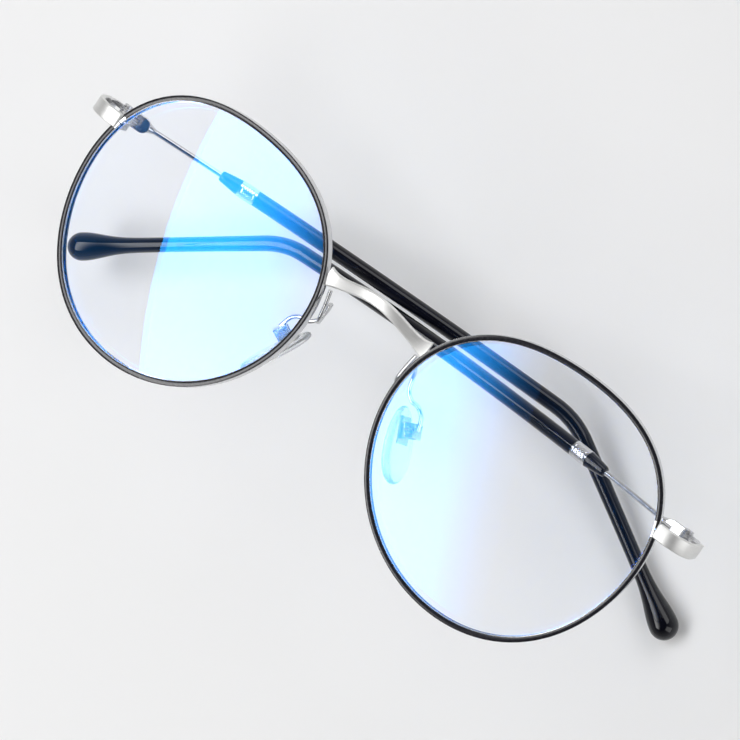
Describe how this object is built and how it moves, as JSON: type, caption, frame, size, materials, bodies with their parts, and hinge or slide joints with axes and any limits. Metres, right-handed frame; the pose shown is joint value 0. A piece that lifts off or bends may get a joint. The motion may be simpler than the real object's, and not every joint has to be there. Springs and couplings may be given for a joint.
{
  "type": "eyeglasses",
  "caption": "Round wire-rimmed eyeglasses with clear lenses, screwed-on nose pads and folding temples in glossy sleeves.",
  "frame": {"origin": "on the surface the glasses lie on, under the middle of the front", "axes": "+X the wearer's left, along the front's width; +Y the wearer's up; +Z the way the lenses face, up from the table"},
  "size_m": [0.136, 0.0503, 0.0471],
  "materials": {
    "rim_black": "black paint over silver wire, finely milled",
    "silver": "polished",
    "satin_silver": "satin",
    "steel": "machined",
    "lens": "clear with a blue-violet anti-reflection coating",
    "sleeve_black": "glossy acetate",
    "clear_silicone": "clear moulded silicone"
  },
  "bodies": {
    "front": {"bridge": "satin_silver", "rim_left": "rim_black", "rim_right": "rim_black", "lens_left": "lens", "lens_right": "lens", "end_piece_left": "satin_silver", "end_piece_right": "satin_silver", "closing_block_upper_left": "steel", "closing_block_upper_right": "steel", "closing_block_lower_left": "steel", "closing_block_lower_right": "steel", "closing_screw_left": "steel", "closing_screw_right": "steel", "front_hinge_left": "steel", "front_hinge_right": "steel", "hinge_screw_left": "steel", "hinge_screw_right": "steel", "pad_arm_left": "silver", "pad_arm_right": "silver", "pad_box_left": "silver", "pad_box_right": "silver", "pad_screw_left": "steel", "pad_screw_right": "steel"},
    "temple_left": {"temple_wire_left": "silver", "temple_hinge_left": "steel", "collar_left": "sleeve_black", "trim_ring_left": "silver", "sleeve_left": "sleeve_black"},
    "pad_left": {"nose_pad_left": "clear_silicone", "pad_core_left": "silver"},
    "temple_right": {"temple_wire_right": "silver", "temple_hinge_right": "steel", "collar_right": "sleeve_black", "trim_ring_right": "silver", "sleeve_right": "sleeve_black"},
    "pad_right": {"nose_pad_right": "clear_silicone", "pad_core_right": "silver"}
  },
  "joints": [
    {"name": "temple_fold_left", "type": "hinge", "parent": "front", "child": "temple_left", "pos_m": [0.0642, 0.0102, 0.03135], "axis": [0, -1, 0], "range_deg": [0, 83]},
    {"name": "temple_fold_right", "type": "hinge", "parent": "front", "child": "temple_right", "pos_m": [-0.0642, 0.0102, 0.03135], "axis": [0, 1, 0], "range_deg": [0, 80]},
    {"name": "pad_rock_left", "type": "hinge", "parent": "front", "child": "pad_left", "pos_m": [0.01491, -0.0029, 0.03586], "axis": [-0.3584, 0, 0.9336], "range_deg": [-8, 8]},
    {"name": "pad_rock_right", "type": "hinge", "parent": "front", "child": "pad_right", "pos_m": [-0.01491, -0.0029, 0.03586], "axis": [0.3584, 0, 0.9336], "range_deg": [-8, 8]}
  ],
  "couplings": [
    {"joint": "temple_fold_left", "follows": "temple_fold_right", "ratio": 1.0375}
  ]
}
